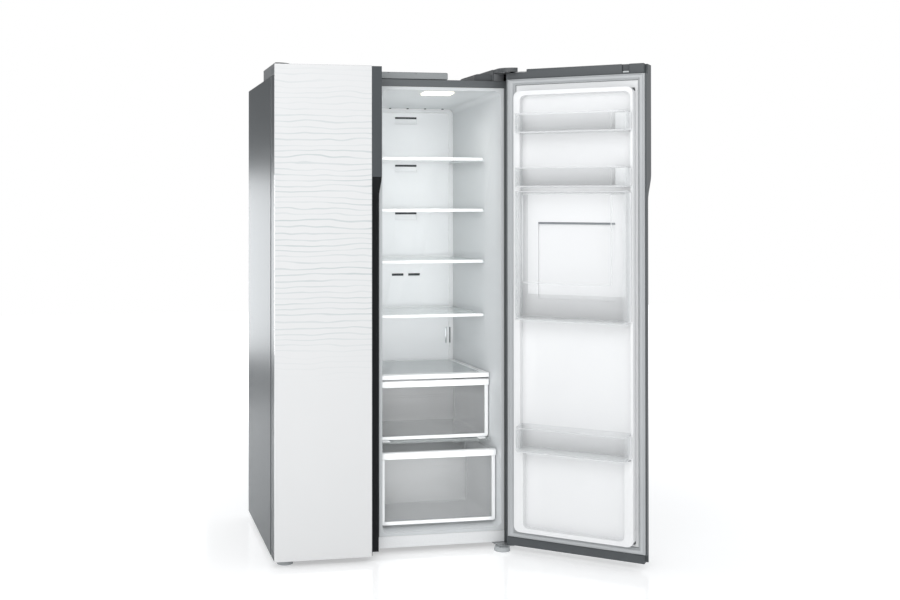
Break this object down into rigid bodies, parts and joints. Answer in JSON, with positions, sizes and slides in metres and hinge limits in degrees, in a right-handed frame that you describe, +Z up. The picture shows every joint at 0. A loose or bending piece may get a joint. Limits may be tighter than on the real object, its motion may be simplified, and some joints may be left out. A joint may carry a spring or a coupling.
{
  "type": "side by side refrigerator",
  "caption": "Tall side by side refrigerator with glass fronted doors, the fridge side's door open on glass shelves, clear crisper drawers and door bins.",
  "frame": {"origin": "centre of the bottom of the bounding box, on the floor, in the rest pose with the fridge side's door open", "axes": "+Z up, +X to the right as seen from the front, +Y to the back of the cabinet"},
  "size_m": [1.3286, 1.044, 1.79],
  "materials": {
    "painted_steel": "satin metallic grey",
    "dark_plastic": "fine matt",
    "white_plastic": "smooth",
    "white_glass": "painted white on its back, gloss",
    "clear_plastic": "clear, gloss",
    "clear_glass": "clear, polished",
    "gasket_rubber": "soft matt",
    "foam": "rough",
    "zinc_steel": "zinc plated",
    "black_steel": "black enamel",
    "copper": "drawn tube",
    "aluminium": "plain",
    "black_rubber": "matt"
  },
  "bodies": {
    "cabinet": {"outer_case": "painted_steel", "centre_strip": "painted_steel", "case_insulation": "foam", "rear_panel": "zinc_steel", "base_plate": "zinc_steel", "front_base_cover": "white_plastic", "wiring_cover": "dark_plastic", "top_hinge_left": "zinc_steel", "top_hinge_right": "zinc_steel", "top_hinge_cover_left": "dark_plastic", "top_hinge_cover_right": "dark_plastic", "bottom_hinge_left": "zinc_steel", "bottom_hinge_right": "zinc_steel", "compressor": "black_steel", "condenser_coil": "copper", "drain_pan": "white_plastic", "machine_room_cover": "black_steel", "mains_inlet": "dark_plastic", "fridge_liner": "white_plastic", "freezer_liner": "white_plastic", "fridge_duct_panel": "white_plastic", "freezer_duct_panel": "white_plastic", "evaporator": "aluminium", "freezer_shelf_1": "clear_glass", "freezer_shelf_2": "clear_glass", "crisper_shelf": "white_plastic", "lower_drawer_cover": "clear_glass", "freezer_drawer": "clear_plastic", "ceiling_light_lens": "clear_plastic"},
    "fridge_door": {"fridge_door_glass": "white_glass", "fridge_door_body": "painted_steel", "fridge_door_liner": "white_plastic", "fridge_door_gasket": "gasket_rubber", "fridge_door_top_cap": "dark_plastic", "fridge_door_bottom_cap": "dark_plastic", "fridge_door_edge_trim": "dark_plastic", "fridge_door_bin_1": "clear_plastic", "fridge_door_bin_2": "clear_plastic", "fridge_bottle_bin": "clear_plastic", "fridge_lower_bin": "clear_plastic"},
    "freezer_door": {"freezer_door_glass": "white_glass", "freezer_door_body": "painted_steel", "freezer_door_liner": "white_plastic", "freezer_door_gasket": "gasket_rubber", "freezer_door_top_cap": "dark_plastic", "freezer_door_bottom_cap": "dark_plastic", "freezer_door_edge_trim": "dark_plastic"},
    "upper_drawer": {"upper_drawer": "clear_plastic", "upper_drawer_front": "white_plastic"},
    "lower_drawer": {"lower_drawer": "clear_plastic", "lower_drawer_front": "white_plastic"},
    "glass_shelf_1": {"glass_shelf_1": "clear_glass"},
    "glass_shelf_2": {"glass_shelf_2": "clear_glass"},
    "glass_shelf_3": {"glass_shelf_3": "clear_glass"},
    "glass_shelf_4": {"glass_shelf_4": "clear_glass"},
    "levelling_foot_left": {"levelling_foot_left": "dark_plastic"},
    "levelling_foot_right": {"levelling_foot_right": "dark_plastic"},
    "rear_roller_left": {"rear_roller_left": "black_rubber"},
    "rear_roller_right": {"rear_roller_right": "black_rubber"},
    "condenser_fan": {"condenser_fan": "black_steel"}
  },
  "joints": [
    {"name": "fridge_door_hinge", "type": "hinge", "parent": "cabinet", "child": "fridge_door", "pos_m": [0.2357, -0.1355, 0.9], "axis": [0, 0, 1], "range_deg": [-141, 1]},
    {"name": "freezer_door_hinge", "type": "hinge", "parent": "cabinet", "child": "freezer_door", "pos_m": [-0.6523, -0.1355, 0.9], "axis": [0, 0, -1], "range_deg": [0, 141]},
    {"name": "upper_drawer_slide", "type": "slide", "parent": "cabinet", "child": "upper_drawer", "axis": [0, -1, 0], "range_m": [0, 0.24]},
    {"name": "lower_drawer_slide", "type": "slide", "parent": "cabinet", "child": "lower_drawer", "axis": [0, -1, 0], "range_m": [0, 0.26]},
    {"name": "glass_shelf_1_slide", "type": "slide", "parent": "cabinet", "child": "glass_shelf_1", "axis": [0, -1, 0], "range_m": [0, 0.26]},
    {"name": "glass_shelf_2_slide", "type": "slide", "parent": "cabinet", "child": "glass_shelf_2", "axis": [0, -1, 0], "range_m": [0, 0.26]},
    {"name": "glass_shelf_3_slide", "type": "slide", "parent": "cabinet", "child": "glass_shelf_3", "axis": [0, -1, 0], "range_m": [0, 0.26]},
    {"name": "glass_shelf_4_slide", "type": "slide", "parent": "cabinet", "child": "glass_shelf_4", "axis": [0, -1, 0], "range_m": [0, 0.26]},
    {"name": "left_foot_screw", "type": "hinge", "parent": "cabinet", "child": "levelling_foot_left", "pos_m": [-0.6173, -0.135, 0.006], "axis": [0, 0, 1], "continuous": true},
    {"name": "right_foot_screw", "type": "hinge", "parent": "cabinet", "child": "levelling_foot_right", "pos_m": [0.2007, -0.135, 0.006], "axis": [0, 0, 1], "continuous": true},
    {"name": "left_roller_spin", "type": "hinge", "parent": "cabinet", "child": "rear_roller_left", "pos_m": [-0.5943, 0.45, 0.018], "axis": [1, 0, 0], "continuous": true},
    {"name": "right_roller_spin", "type": "hinge", "parent": "cabinet", "child": "rear_roller_right", "pos_m": [0.1777, 0.45, 0.018], "axis": [1, 0, 0], "continuous": true},
    {"name": "condenser_fan_spin", "type": "hinge", "parent": "cabinet", "child": "condenser_fan", "pos_m": [-0.2933, 0.4075, 0.1166], "axis": [1, 0, 0], "continuous": true}
  ]
}
